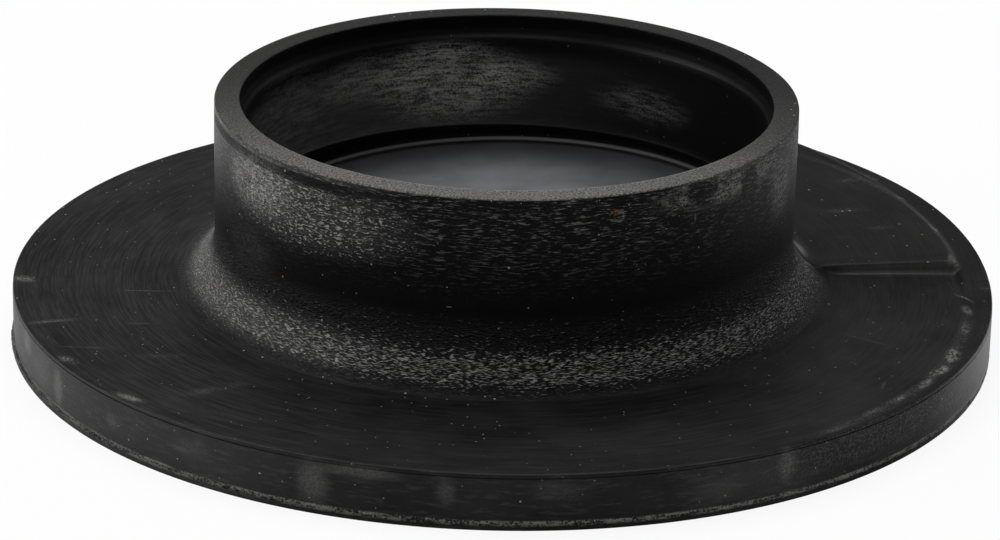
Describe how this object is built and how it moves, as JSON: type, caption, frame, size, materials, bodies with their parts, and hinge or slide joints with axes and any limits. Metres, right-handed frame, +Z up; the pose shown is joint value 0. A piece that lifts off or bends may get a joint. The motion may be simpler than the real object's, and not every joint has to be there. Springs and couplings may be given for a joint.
{
  "type": "coil spring insulator",
  "caption": "Moulded rubber seat for a coil spring: a flat round flange with a rim, a raised pad with a step for the coil's end, and a hollow collar with a closed floor.",
  "frame": {"origin": "centre of the flat underside, on the collar's axis", "axes": "+Z up along the collar's axis, +X towards the step in the seat, 4.3 degrees short of it"},
  "size_m": [0.15, 0.15, 0.0373],
  "materials": {
    "rubber": "satin black moulded rubber with a pebbled root and a light scuff"
  },
  "bodies": {
    "root": {"insulator": "rubber"}
  },
  "joints": []
}
